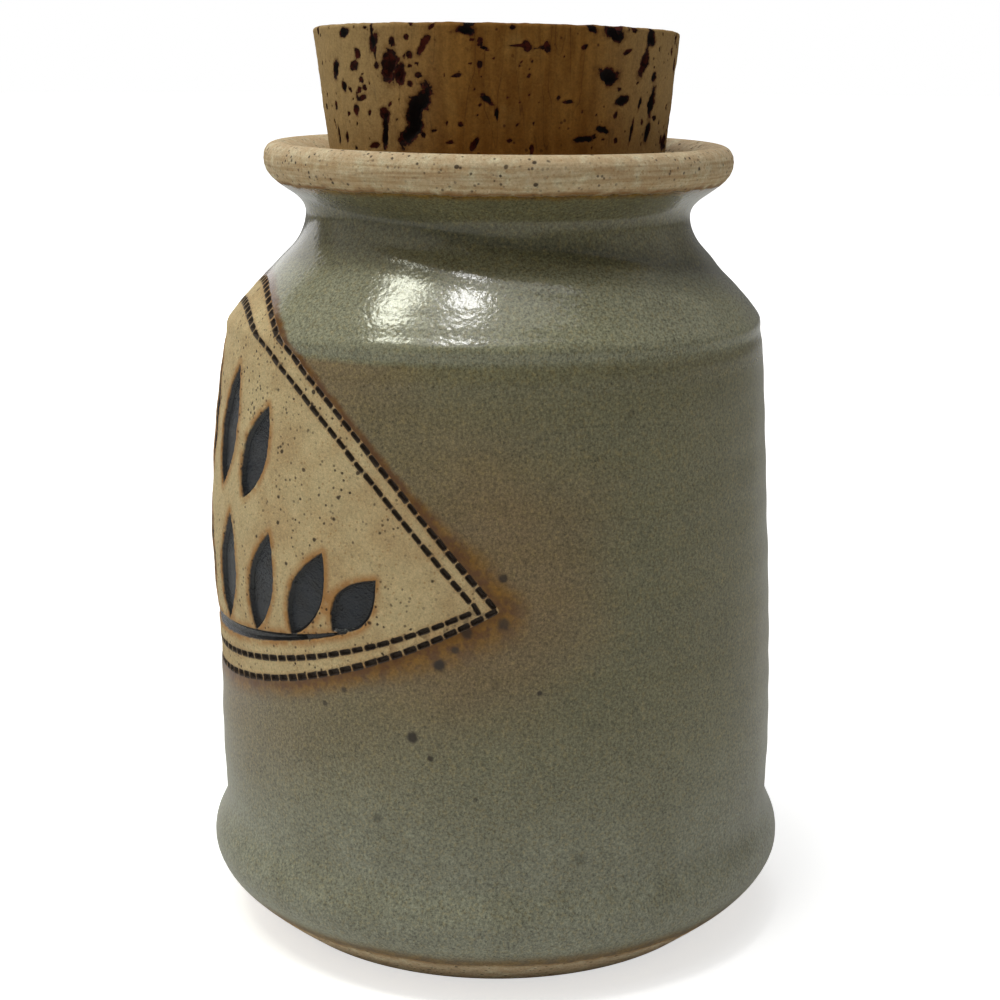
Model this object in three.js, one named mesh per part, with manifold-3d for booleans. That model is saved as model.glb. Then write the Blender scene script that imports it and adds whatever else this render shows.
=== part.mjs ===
// Stoneware storage jar with a cork stopper.
// Millimetres, +Z up. The origin is the centre of the foot's underside and the label faces -Y.
// The shut jar can't be seen into, so it is solid below the bore that holds the cork.
import * as THREE from 'three';
import { mergeGeometries, mergeVertices } from 'three/addons/utils/BufferGeometryUtils.js';
import Module from 'manifold-3d';

const wasm = await Module();
wasm.setup();

// Jar wall: radius and height of each place where it turns
const FOOT = [47.6, 0];
const BELLY = [60.4, 15.2];
const WAIST = [57.7, 24.5];
const HIP = [58.2, 40];
const SHOULDER = [54.3, 117];
const SLOPE = [48.65, 131];
const NECK = [38.9, 145.2];
const LIP = [47.2, 155.3];
const CREST = [44.2, 159.3];
const THROAT = [31, 149.5];
const JAR_SIDES = 60;

// The lip is not quite level: it tilts down towards a bearing, from the neck's low height upwards
const LIP_TILT = { degrees: 0.85, bearing: 108, low: 138, high: 150 };

// Swell of the wall behind the label, pressed out from inside
const SWELL = { out: 3.1, low: 50, fullLow: 86, fullHigh: 98, high: 152, reach: 1.4 };

// Label: half width and heights of a wide panel with a pointed corner at each side
const LABEL = { half: 77.6, middle: 77.5, top: 132.8, bottom: 54.9, radius: 57 };
const UPPER_HANDLES = [[54.1, 104.5], [32.7, 132.8]];
const LOWER_HANDLES = [[51.9, 62.9], [23.1, 54.9]];
const INNER_LINE = { across: 0.954, up: 0.925, down: 0.8 };
const STITCH = { pitch: 2.8, length: 2.45, width: 1.05, depth: 0.65 };
const OUTLINE_STEPS = 24;

// Leaf ornament sunk into the label: where each leaf starts, its lean from upright and its length
const RECESS = 0.9;
const CLEAR_OUT = 1.6;
const LEAF = { handle: 8, widest: 0.42, steps: 6 };
const MIDDLE_LEAVES = [
  { across: 0, height: 66, lean: 0, length: 24 },
  { across: 0, height: 93, lean: 0, length: 28 },
];
const SIDE_LEAVES = [
  { across: 12, height: 66, lean: 8, length: 23.5 },
  { across: 24, height: 66.7, lean: 15, length: 22 },
  { across: 35.5, height: 68.3, lean: 24, length: 19.5 },
  { across: 45.5, height: 71, lean: 40, length: 14.5 },
  { across: 10.5, height: 93, lean: 12, length: 26 },
  { across: 20.5, height: 92.5, lean: 22, length: 21 },
];
const BRANCH = { half: 49, middle: 64.4, rise: 7, thick: 2.8, tip: 0.7, steps: 26 };

// Cork: a tapered plug that leans a little in the bore, with its top not quite square.
// A bearing is in degrees from the middle of the label, towards +X.
const CORK = { base: 32.3, top: 36.4, length: 35.7, bevel: 0.8, height: 145.4, sides: 48 };
const CORK_LEAN = { degrees: 0.8, bearing: 348 };
const CORK_SLANT = { degrees: 1.9, bearing: 210 };
const CORK_GAP = 0.3;

// Open fissures in the cork's side: bearing, height up the cork, length, width and lean from upright
const FISSURES = [
  { bearing: 52, height: 19.4, length: 12.6, width: 3.8, lean: 27 },
  { bearing: 45, height: 27.8, length: 6.2, width: 3.8, lean: 0 },
  { bearing: 40, height: 16.4, length: 6.6, width: 1.7, lean: 2 },
  { bearing: 18, height: 27.6, length: 3.6, width: 2.4, lean: 20 },
  { bearing: 88, height: 31.7, length: 8, width: 1.3, lean: 90 },
  { bearing: 78, height: 20, length: 3, width: 1.6, lean: -30 },
  { bearing: 114, height: 26.9, length: 4.8, width: 2.7, lean: 86 },
  { bearing: 115, height: 33.2, length: 5, width: 2, lean: 88 },
  { bearing: 136, height: 21.5, length: 6.4, width: 2.1, lean: 4 },
  { bearing: 129, height: 29, length: 5.4, width: 2.2, lean: 18 },
];
const FISSURE_DEPTH = 0.45;
const PORES = { side: 34, top: 16, shortest: 1.6, longest: 4, slim: 0.55, margin: 3, stray: 12, seed: 11 };

const CLAY_GREEN = 0x6f6f5c;
const CORK_BROWN = 0x7a5233;

// One run of the wall: leaves the first place by one handle and reaches the second by the other
function stretch(from, leave, arrive, to, steps) {
  const [a, b, c, d] = [from, leave, arrive, to].map(([r, z]) => new THREE.Vector2(r, z));
  return new THREE.CubicBezierCurve(a, b, c, d).getPoints(steps).slice(1);
}

// The jar's outside from the foot up to the crest of the lip, finer where detail is larger
function wall(detail) {
  return [
    new THREE.Vector2(...FOOT),
    ...stretch(FOOT, [52.8, 4.1], [60.5, 9.4], BELLY, 4 * detail),
    ...stretch(BELLY, [60.4, 18.8], [57.7, 20.6], WAIST, 3 * detail),
    ...stretch(WAIST, [57.7, 28], [58.3, 33], HIP, detail),
    ...stretch(HIP, [58, 60], [55.6, 95], SHOULDER, 7 * detail),
    ...stretch(SHOULDER, [54.1, 125.4], [52.9, 125.8], SLOPE, 3 * detail),
    ...stretch(SLOPE, [45.4, 135], [38.9, 139.6], NECK, 3 * detail),
    ...stretch(NECK, [38.9, 149.6], [46.6, 150.6], LIP, 4 * detail),
    ...stretch(LIP, [47.5, 157.8], [46.2, 159.3], CREST, 3 * detail),
  ];
}

const FINE_WALL = wall(12);

function wallRadius(height) {
  const above = Math.max(1, FINE_WALL.findIndex((point) => point.y >= height));
  const [low, high] = [FINE_WALL[above - 1], FINE_WALL[above]];
  return THREE.MathUtils.mapLinear(height, low.y, high.y, low.x, high.x);
}

// How far the wall stands out at a bearing from the label's middle, in radians, and a height
function swell(bearing, height) {
  const { smoothstep } = THREE.MathUtils;
  const rise = smoothstep(height, SWELL.low, SWELL.fullLow);
  const fall = 1 - smoothstep(height, SWELL.fullHigh, SWELL.high);
  const across = 0.5 + 0.5 * Math.cos(Math.PI * Math.min(1, Math.abs(bearing) / SWELL.reach));
  return SWELL.out * rise * fall * across;
}

function onWall(bearing, height) {
  const radius = wallRadius(height) + swell(bearing, height);
  return new THREE.Vector3(radius * Math.sin(bearing), -radius * Math.cos(bearing), height);
}

function outOfWall(bearing, height) {
  const step = 0.01;
  const across = onWall(bearing + step, height).sub(onWall(bearing - step, height));
  const up = onWall(bearing, height + step).sub(onWall(bearing, height - step));
  return across.cross(up).normalize();
}

// Bends a flat drawing, x across, y up and z out, round the jar
function wrap(geometry) {
  const place = geometry.attributes.position;
  for (let i = 0; i < place.count; i += 1) {
    const bearing = place.getX(i) / LABEL.radius;
    const height = place.getY(i);
    const point = onWall(bearing, height).addScaledVector(outOfWall(bearing, height), place.getZ(i));
    place.setXYZ(i, ...point);
  }
  return geometry;
}

function toSolid(geometry) {
  geometry.deleteAttribute('normal');
  geometry.deleteAttribute('uv');
  const merged = mergeVertices(geometry);
  const mesh = new wasm.Mesh({
    numProp: 3,
    vertProperties: merged.attributes.position.array,
    triVerts: Uint32Array.from(merged.index.array),
  });
  return new wasm.Manifold(mesh);
}

function toGeometry(solid) {
  const { vertProperties, triVerts } = solid.getMesh();
  const geometry = new THREE.BufferGeometry();
  geometry.setAttribute('position', new THREE.BufferAttribute(vertProperties, 3));
  geometry.setIndex(new THREE.BufferAttribute(triVerts, 1));
  return geometry;
}

// A turned solid with its axis along +Z, from an outline that runs upwards
function turned(outline, sides) {
  return new THREE.LatheGeometry(outline, sides).rotateX(Math.PI / 2);
}

// The level direction at a bearing from the middle of the label
function heading(degrees) {
  const bearing = THREE.MathUtils.degToRad(degrees);
  return new THREE.Vector3(Math.sin(bearing), -Math.cos(bearing), 0);
}

function jarBody() {
  const inside = stretch(CREST, [41.6, 159.3], [36, 155], THROAT, 3);
  const axis = [new THREE.Vector2(0, FOOT[1]), new THREE.Vector2(0, THROAT[1])];
  const geometry = turned([axis[0], ...wall(1), ...inside, axis[1]], JAR_SIDES);
  const place = geometry.attributes.position;
  const point = new THREE.Vector3();
  const fall = heading(LIP_TILT.bearing).multiplyScalar(Math.tan(THREE.MathUtils.degToRad(LIP_TILT.degrees)));
  for (let i = 0; i < place.count; i += 1) {
    point.fromBufferAttribute(place, i);
    const { x, y, z } = point;
    const grown = 1 + swell(Math.atan2(x, -y), z) / Math.max(1, Math.hypot(x, y));
    const drop = THREE.MathUtils.smoothstep(z, LIP_TILT.low, LIP_TILT.high) * point.dot(fall);
    place.setXYZ(i, x * grown, y * grown, z - drop);
  }
  return toSolid(geometry);
}

// The label's edge as a closed line round the jar, drawn in by the given shares of its size
function labelLine({ across, up, down }) {
  const corner = new THREE.Vector2(LABEL.half * across, LABEL.middle);
  const quarter = (handles, edge, share) => {
    const drawn = [...handles, [0, edge]].map(
      ([x, y]) => new THREE.Vector2(x * across, LABEL.middle + (y - LABEL.middle) * share),
    );
    return new THREE.CubicBezierCurve(corner, ...drawn).getPoints(OUTLINE_STEPS);
  };
  const upper = quarter(UPPER_HANDLES, LABEL.top, up);
  const lower = quarter(LOWER_HANDLES, LABEL.bottom, down);
  const right = [...lower.reverse(), ...upper.slice(1)];
  const left = right.slice(1, -1).reverse().map((point) => new THREE.Vector2(-point.x, point.y));
  return [...right, ...left].map(({ x, y }) => onWall(x / LABEL.radius, y));
}

// Marks pressed by a toothed wheel: three-sided prisms laid end to end with an edge inwards
function stitches(points) {
  const line = new THREE.CurvePath();
  points.forEach((point, i) => line.add(new THREE.LineCurve3(point, points[(i + 1) % points.length])));
  const count = Math.round(line.getLength() / STITCH.pitch);
  const marks = [];
  for (let i = 0; i < count; i += 1) {
    const point = line.getPointAt(i / count);
    const along = line.getTangentAt(i / count);
    const out = outOfWall(Math.atan2(point.x, -point.y), point.z);
    const side = out.clone().cross(along).normalize();
    const inwards = side.clone().cross(along);
    const mark = new THREE.CylinderGeometry(1, 1, 1, 3);
    mark.scale(STITCH.width / Math.sqrt(4 / 3), STITCH.length, STITCH.depth);
    mark.applyMatrix4(new THREE.Matrix4().makeBasis(side, along, inwards).setPosition(point));
    marks.push(mark);
  }
  return toSolid(mergeGeometries(marks));
}

// A pointed leaf, as deep as the recess and standing clear of the wall
function leaf({ across, height, lean, length }) {
  const shape = new THREE.Shape();
  shape.quadraticCurveTo(LEAF.handle, length * LEAF.widest, 0, length);
  shape.quadraticCurveTo(-LEAF.handle, length * LEAF.widest, 0, 0);
  const depth = RECESS + CLEAR_OUT;
  const block = new THREE.ExtrudeGeometry(shape, { depth, curveSegments: LEAF.steps, bevelEnabled: false });
  block.rotateZ(THREE.MathUtils.degToRad(-lean)).translate(across, height, -RECESS);
  return toSolid(wrap(block));
}

// A thin bough that rises and tapers towards both ends
function branch() {
  const bough = new THREE.BoxGeometry(2 * BRANCH.half, BRANCH.thick, RECESS + CLEAR_OUT, BRANCH.steps);
  bough.translate(0, 0, (CLEAR_OUT - RECESS) / 2);
  const place = bough.attributes.position;
  for (let i = 0; i < place.count; i += 1) {
    const share = (place.getX(i) / BRANCH.half) ** 2;
    const slim = THREE.MathUtils.lerp(1, BRANCH.tip / BRANCH.thick, share);
    place.setY(i, BRANCH.middle + BRANCH.rise * share + place.getY(i) * slim);
  }
  return toSolid(wrap(bough));
}

function ornament() {
  const mirrored = SIDE_LEAVES.map((place) => ({ ...place, across: -place.across, lean: -place.lean }));
  const leaves = [...MIDDLE_LEAVES, ...SIDE_LEAVES, ...mirrored].map(leaf);
  return leaves.reduce((whole, next) => whole.add(next), branch());
}

function corkRadius(height) {
  return THREE.MathUtils.mapLinear(height, 0, CORK.length, CORK.base, CORK.top);
}

function corkPlace() {
  const up = new THREE.Vector3(0, 0, 1);
  const hinge = up.cross(heading(CORK_LEAN.bearing));
  const place = new THREE.Object3D();
  place.quaternion.setFromAxisAngle(hinge, THREE.MathUtils.degToRad(CORK_LEAN.degrees));
  place.position.set(0, 0, CORK.height);
  return place;
}

// The bore that the cork sits in: the cork's own taper, wider by the gap
function bore() {
  const outline = [
    [0, -CORK_GAP],
    [corkRadius(-CORK_GAP) + CORK_GAP, -CORK_GAP],
    [corkRadius(CORK.length) + CORK_GAP, CORK.length],
    [0, CORK.length],
  ].map(([r, z]) => new THREE.Vector2(r, z));
  const place = corkPlace();
  place.updateMatrix();
  return toSolid(turned(outline, CORK.sides).applyMatrix4(place.matrix));
}

// A lens-shaped pit cutter: long axis along y before it leans, depth along z
function pit({ length, width, lean }, depth) {
  const cutter = new THREE.OctahedronGeometry(1).scale(width / 2, length / 2, depth);
  return cutter.rotateZ(THREE.MathUtils.degToRad(-lean));
}

function sidePit(place) {
  const depth = place.width * FISSURE_DEPTH;
  const cutter = pit(place, depth).rotateX(Math.PI / 2);
  cutter.translate(0, -corkRadius(place.height), place.height);
  return cutter.rotateZ(THREE.MathUtils.degToRad(place.bearing));
}

function topPit(place) {
  const cutter = pit(place, place.width * FISSURE_DEPTH);
  return cutter.translate(place.x, place.y, CORK.length);
}

// A repeatable draw between two bounds
function seeded(seed) {
  const [factor, modulus] = [16807, 2147483647];
  let state = seed;
  return (low, high) => {
    state = (state * factor) % modulus;
    return low + ((high - low) * state) / modulus;
  };
}

// Pores of the cork, spread by a golden-angle spiral and unsettled by a seeded draw
function pores() {
  const draw = seeded(PORES.seed);
  const golden = Math.PI * (3 - Math.sqrt(5));
  const cuts = [];
  for (let i = 0; i < PORES.side; i += 1) {
    const length = draw(PORES.shortest, PORES.longest);
    const bearing = THREE.MathUtils.radToDeg(i * golden) + draw(-PORES.stray, PORES.stray);
    const height = draw(PORES.margin, CORK.length - PORES.margin);
    cuts.push(sidePit({ bearing, height, length, width: length * PORES.slim, lean: draw(0, 180) }));
  }
  for (let i = 0; i < PORES.top; i += 1) {
    const length = draw(PORES.shortest, PORES.longest);
    const reach = (CORK.top - PORES.margin) * Math.sqrt((i + 0.5) / PORES.top);
    const [x, y] = [reach * Math.cos(i * golden), reach * Math.sin(i * golden)];
    cuts.push(topPit({ x, y, length, width: length * PORES.slim, lean: draw(0, 180) }));
  }
  return cuts;
}

// The cork's top was sawn a little out of square with its axis
function slanted(geometry) {
  const slope = Math.tan(THREE.MathUtils.degToRad(CORK_SLANT.degrees));
  const fall = heading(CORK_SLANT.bearing).multiplyScalar(slope);
  const place = geometry.attributes.position;
  const point = new THREE.Vector3();
  for (let i = 0; i < place.count; i += 1) {
    point.fromBufferAttribute(place, i);
    place.setZ(i, point.z - (point.z / CORK.length) * point.dot(fall));
  }
  geometry.computeVertexNormals();
  return geometry;
}

function corkBody() {
  const outline = [
    [0, 0],
    [CORK.base - CORK.bevel, 0],
    [corkRadius(CORK.bevel), CORK.bevel],
    [corkRadius(CORK.length - CORK.bevel), CORK.length - CORK.bevel],
    [CORK.top - CORK.bevel, CORK.length],
    [0, CORK.length],
  ].map(([r, z]) => new THREE.Vector2(r, z));
  const plug = toSolid(turned(outline, CORK.sides));
  const cuts = [...FISSURES.map(sidePit), ...pores()];
  return cuts.reduce((left, cut) => left.subtract(toSolid(cut)), plug);
}

function jar() {
  const outer = stitches(labelLine({ across: 1, up: 1, down: 1 }));
  const inner = stitches(labelLine(INNER_LINE));
  const body = jarBody().subtract(bore()).subtract(outer).subtract(inner).subtract(ornament());
  const clay = new THREE.MeshStandardMaterial({ color: CLAY_GREEN, roughness: 0.5, metalness: 0 });
  const geometry = toGeometry(body);
  geometry.computeVertexNormals();
  const mesh = new THREE.Mesh(geometry, clay);
  mesh.name = 'jar';
  return mesh;
}

function cork() {
  const brown = new THREE.MeshStandardMaterial({ color: CORK_BROWN, roughness: 0.9, metalness: 0 });
  const mesh = new THREE.Mesh(slanted(toGeometry(corkBody())), brown);
  const place = corkPlace();
  mesh.quaternion.copy(place.quaternion);
  mesh.position.copy(place.position);
  mesh.name = 'cork_stopper';
  return mesh;
}

const storageJar = new THREE.Group();
storageJar.add(jar(), cork());

export default storageJar;
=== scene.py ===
"""Looks of the stoneware storage jar and its cork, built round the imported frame.

Lengths in the named sizes are millimetres, as a potter would measure the jar. Blender gets metres.
A bearing is an angle round the jar from the middle of the label, which faces -Y, towards +X.
"""

import math

import bpy
import numpy as np
from mathutils import Matrix, Vector
from mathutils.geometry import delaunay_2d_cdt


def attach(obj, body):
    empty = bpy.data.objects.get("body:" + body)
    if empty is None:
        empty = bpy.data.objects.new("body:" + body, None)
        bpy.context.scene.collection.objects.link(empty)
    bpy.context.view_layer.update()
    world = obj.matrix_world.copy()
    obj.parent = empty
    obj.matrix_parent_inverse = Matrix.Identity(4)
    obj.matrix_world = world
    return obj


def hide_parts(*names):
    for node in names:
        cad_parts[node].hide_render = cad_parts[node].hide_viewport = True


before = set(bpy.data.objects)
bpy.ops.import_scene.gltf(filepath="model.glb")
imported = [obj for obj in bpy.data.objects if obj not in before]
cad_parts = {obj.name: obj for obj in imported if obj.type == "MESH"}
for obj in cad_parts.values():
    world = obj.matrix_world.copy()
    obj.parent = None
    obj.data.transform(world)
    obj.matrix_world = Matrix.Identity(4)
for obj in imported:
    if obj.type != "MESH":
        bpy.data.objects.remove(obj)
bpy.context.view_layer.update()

MM = 0.001

# Jar wall: radius and height of each place where it turns, and the handles of each curve between
FOOT, BELLY, WAIST, HIP = (47.6, 0), (60.4, 15.2), (57.7, 24.5), (58.2, 40)
SHOULDER, SLOPE, NECK = (54.3, 117), (48.65, 131), (38.9, 145.2)
LIP, CREST, THROAT = (47.2, 155.3), (44.2, 159.3), (31, 149.5)
OUTSIDE_CURVES = (
    (FOOT, (52.8, 4.1), (60.5, 9.4), BELLY),
    (BELLY, (60.4, 18.8), (57.7, 20.6), WAIST),
    (WAIST, (57.7, 28), (58.3, 33), HIP),
    (HIP, (58, 60), (55.6, 95), SHOULDER),
    (SHOULDER, (54.1, 125.4), (52.9, 125.8), SLOPE),
    (SLOPE, (45.4, 135), (38.9, 139.6), NECK),
    (NECK, (38.9, 149.6), (46.6, 150.6), LIP),
    (LIP, (47.5, 157.8), (46.2, 159.3), CREST),
)
INSIDE_CURVE = (CREST, (41.6, 159.3), (36, 155), THROAT)
BORE_RADIUS, BORE_RIM, BORE_FLOOR = 33.2, 150.6, 145.0
SWELL_OUT, SWELL_RISE, SWELL_FALL, SWELL_REACH = 3.1, (50, 86), (98, 152), 1.4

# The lip is not quite level: its tilt in degrees, the bearing it falls to and where the tilt sets in
LIP_TILT, LIP_TILT_BEARING, LIP_TILT_RISE = 0.85, 108, (138, 150)

# Rings left by the fingers: how far each stands out or is pressed in, its height and its half width
SHOULDER_RING, SHOULDER_CREASE = (0.34, 124.7, 1.4), (0.26, 121.7, 1.5)
NECK_RING, NECK_CREASE = (0.26, 136.6, 1.6), (0.2, 139.8, 1.6)

# A finger mark winds down the neck: the bearing in radians and the height it is measured from, its fall in
# each radian, and its depth and half width. A ridge runs this far below it, with its own rise and half width.
MARK_BEARING, MARK_HEIGHT, MARK_FALL, MARK_DEPTH, MARK_HALF = 1.45, 142.6, 5.73, 0.42, 1.8
RIDGE_BELOW, RIDGE_RISE, RIDGE_HALF = 6.6, 0.5, 2.2

# Unevenness: how far out, the size of the lumps and the seed of each layer
WALL_LUMPS = ((0.12, 46, 3), (0.05, 17, 4))
CORK_LUMPS = ((0.05, 6, 21), (0.03, 1.9, 22))

# Label: half width and heights of its outer stitched line, and the handles of its curves
LABEL_HALF, LABEL_MIDDLE, LABEL_TOP, LABEL_BOTTOM = 77.6, 77.5, 132.8, 54.9
LABEL_RADIUS = 57
UPPER_HANDLES = ((54.1, 104.5), (32.7, 132.8))
LOWER_HANDLES = ((51.9, 62.9), (23.1, 54.9))
INNER_ACROSS, INNER_UP, INNER_DOWN = 0.954, 0.925, 0.8
BARE_MARGIN = 0.55
STITCH_PITCH, STITCH_LENGTH, STITCH_WIDTH, STITCH_DEPTH = 2.8, 2.38, 1.05, 0.6

# Ornament: where each leaf starts, its lean from upright in degrees and its length
LEAF_HANDLE, LEAF_WIDEST = 8, 0.42
MIDDLE_LEAVES = ((0, 66, 0, 24), (0, 93, 0, 28))
SIDE_LEAVES = (
    (12, 66, 8, 23.5), (24, 66.7, 15, 22), (35.5, 68.3, 24, 19.5), (45.5, 71, 40, 14.5),
    (10.5, 93, 12, 26), (20.5, 92.5, 22, 21),
)
BRANCH_HALF, BRANCH_MIDDLE, BRANCH_RISE, BRANCH_THICK, BRANCH_TIP = 49, 64.4, 7, 2.8, 0.7
RECESS, BEVEL = 0.8, 0.75

# Cork: a tapered plug, leaning a little, its top not quite square
CORK_BASE, CORK_TOP, CORK_LENGTH, CORK_FOOT, CORK_BEVEL = 32.3, 36.4, 35.7, 145.4, 0.7
CORK_LEAN, CORK_LEAN_BEARING = 0.8, 348
CORK_SLANT, CORK_SLANT_BEARING = 1.9, 210

# Fineness of the meshes, the heights with the closer rows and how far the label's own mesh reaches past it
COLUMNS, ROW_STEP, PATCH_STEP = 320, 0.55, 1.05
FINE_ROWS = (119, 160)
PATCH_MARGIN = 2.6
CORK_COLUMNS, CORK_STEP = 480, 0.45

# How far inside a mark, or inside the bare clay, a point counts as where it is nowhere near
FAR_FROM_MARKS, FAR_FROM_CLAY = -3.0, -20.0


def smoothstep(value, low, high):
    share = np.clip((np.asarray(value, float) - low) / (high - low), 0, 1)
    return share * share * (3 - 2 * share)


def bezier(a, b, c, d, steps):
    t = np.linspace(0, 1, steps + 1)[:, None]
    a, b, c, d = (np.array(point, float) for point in (a, b, c, d))
    return (1 - t) ** 3 * a + 3 * t * (1 - t) ** 2 * b + 3 * t * t * (1 - t) * c + t ** 3 * d


def evenly(line, step):
    """The line's points again, a step apart along it."""
    along = np.concatenate([[0], np.cumsum(np.hypot(*np.diff(line, axis=0).T))])
    stops = np.linspace(0, along[-1], max(2, round(along[-1] / step) + 1))
    return np.stack([np.interp(stops, along, line[:, i]) for i in (0, 1)], 1)


def joined(curves, steps=60):
    runs = [bezier(*curve, steps) for curve in curves]
    return np.concatenate([runs[0], *(run[1:] for run in runs[1:])])


OUTSIDE = joined(OUTSIDE_CURVES)


def heading(bearing):
    """The level direction at a bearing in degrees."""
    angle = math.radians(bearing)
    return np.array([math.sin(angle), -math.cos(angle), 0])


def tilted(place):
    """Points of the jar, with the lip tilted."""
    fall = place @ heading(LIP_TILT_BEARING) * math.tan(math.radians(LIP_TILT))
    drop = smoothstep(place[..., 2], *LIP_TILT_RISE) * fall
    return place - drop[..., None] * (0, 0, 1)


def swell(bearing, height):
    """How far the wall stands out behind the label."""
    rise = smoothstep(height, *SWELL_RISE) * (1 - smoothstep(height, *SWELL_FALL))
    across = 0.5 + 0.5 * np.cos(np.pi * np.minimum(1, np.abs(bearing) / SWELL_REACH))
    return SWELL_OUT * rise * across


def turned_back(bearing):
    """The bearing as a number from -pi to pi."""
    return (bearing + np.pi) % (2 * np.pi) - np.pi


def waviness(points, size, seed):
    """A soft unevenness from -1 to 1 in lumps of about this size."""
    draw = np.random.default_rng(seed)
    waves = 9
    directions = draw.normal(size=(waves, points.shape[-1]))
    directions /= np.linalg.norm(directions, axis=1)[:, None]
    pace = 2 * np.pi / size * draw.uniform(0.6, 1.4, waves)
    start = draw.uniform(0, 2 * np.pi, waves)
    return np.sin(points @ (directions.T * pace) + start).sum(-1) / math.sqrt(waves)


def unevenness(points, layers):
    return sum(out * waviness(points, size, seed) for out, size, seed in layers)


def hump(value, middle, half):
    return np.exp(-((value - middle) / half) ** 2)


def ring(height, shape, climb=0.0, more=0.0):
    """One ring left by a finger. It may climb, and it may stand out more in some places."""
    out, middle, half = shape
    return (out + more) * hump(height, middle + climb, half)


def finger_mark(bearing):
    """Height of the groove that winds down from under the lip, and how clear it is, at each bearing."""
    past = turned_back(bearing - MARK_BEARING)
    clear = smoothstep(past, -1.9, -1.2) * (1 - smoothstep(past, 1.1, 1.7))
    return MARK_HEIGHT - MARK_FALL * past, clear


def throwing(bearing, height):
    """What the fingers left: rings at the shoulder, a mark that winds down the neck, and faint turns."""
    climb = 0.4 * np.sin(bearing - 1.2)
    groove, clear = finger_mark(bearing)
    front = 0.3 * hump(bearing, 1.1, 0.5)
    rings = ring(height, SHOULDER_RING, climb, front) - ring(height, SHOULDER_CREASE, climb)
    ridge = smoothstep(turned_back(bearing), 0.1, 0.6) * clear
    rings = rings + ridge * RIDGE_RISE * hump(height, groove - RIDGE_BELOW, RIDGE_HALF)
    rings -= clear * MARK_DEPTH * hump(height, groove - 0.2, MARK_HALF)
    rings += (1 - clear) * (ring(height, NECK_RING) - ring(height, NECK_CREASE))
    rings *= 1 - smoothstep(height, 148, 150.5)
    faint = smoothstep(height, 24, 34) * (1 - smoothstep(height, 140, 150))
    rings += faint * 0.05 * np.sin(height / 1.35 + 1.5 * np.sin(bearing * 2 + height / 21))
    turning = smoothstep(height, 151, 153.5)
    rings += turning * 0.035 * np.sin(height * 5.2 + 0.6 * np.sin(bearing * 3))
    return rings


def wall_radius(bearing, height):
    radius = np.interp(height, OUTSIDE[:, 1], OUTSIDE[:, 0])
    return radius + swell(turned_back(bearing), height) + throwing(bearing, height)


def on_wall(bearing, height, out=0.0):
    """Points of the wall, moved out along it, in millimetres."""
    def point(b, h):
        r = wall_radius(b, h)
        return tilted(np.stack([r * np.sin(b), -r * np.cos(b), h + 0 * b], -1))

    step = 0.02
    across = point(bearing + step, height) - point(bearing - step, height)
    up = point(bearing, height + step) - point(bearing, height - step)
    normal = np.cross(across, up)
    normal /= np.linalg.norm(normal, axis=-1)[..., None]
    place = point(bearing, height)
    level = smoothstep(height, 0, 4) * (1 - smoothstep(height, 156, 158))
    return place + normal * (np.asarray(out) + unevenness(place, WALL_LUMPS) * level)[..., None]


# Flat drawing of the label: across is bearing times LABEL_RADIUS, up is height


def label_line(across=1.0, up=1.0, down=1.0, steps=70):
    """A closed line round the label, drawn in by the given shares of its size."""
    def quarter(handles, edge, share):
        drawn = [(LABEL_HALF, LABEL_MIDDLE), *handles, (0, edge)]
        return bezier(*((x * across, LABEL_MIDDLE + (y - LABEL_MIDDLE) * share) for x, y in drawn), steps)

    lower = quarter(LOWER_HANDLES, LABEL_BOTTOM, down)
    upper = quarter(UPPER_HANDLES, LABEL_TOP, up)
    right = np.concatenate([lower[::-1], upper[1:]])
    left = right[-2:0:-1] * (-1, 1)
    return np.concatenate([right, left])


def leaf_outline(across, height, lean, length, steps=14):
    t = np.linspace(0, 1, steps + 1)
    side = 2 * t * (1 - t) * LEAF_HANDLE
    up = 2 * t * (1 - t) * length * LEAF_WIDEST + t * t * length
    right = np.stack([side, up], 1)
    left = right[-2:0:-1] * (-1, 1)
    turn = math.radians(-lean)
    spin = np.array([[math.cos(turn), math.sin(turn)], [-math.sin(turn), math.cos(turn)]])
    return np.concatenate([right, left]) @ spin + (across, height)


def branch_outline(steps=60):
    across = np.linspace(-BRANCH_HALF, BRANCH_HALF, steps + 1)
    share = (across / BRANCH_HALF) ** 2
    middle = BRANCH_MIDDLE + BRANCH_RISE * share
    half = (BRANCH_THICK + (BRANCH_TIP - BRANCH_THICK) * share) / 2
    low, high = np.stack([across, middle - half], 1), np.stack([across, middle + half], 1)
    return np.concatenate([low, high[::-1]])


def inside_by(points, outline):
    """How far inside a closed outline each point is; outside it is negative."""
    a, b = outline, np.roll(outline, -1, axis=0)
    side = b - a
    best = np.full(len(points), np.inf)
    inside = np.zeros(len(points), bool)
    for start, run, end in zip(a, side, b):
        away = points - start
        share = np.clip(away @ run / max(run @ run, 1e-12), 0, 1)
        best = np.minimum(best, np.hypot(*(away - share[:, None] * run).T))
        crosses = (start[1] > points[:, 1]) != (end[1] > points[:, 1])
        reach = start[0] + (points[:, 1] - start[1]) / (run[1] if run[1] else 1e-12) * run[0]
        inside ^= crosses & (points[:, 0] < reach)
    return np.where(inside, best, -best)


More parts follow.
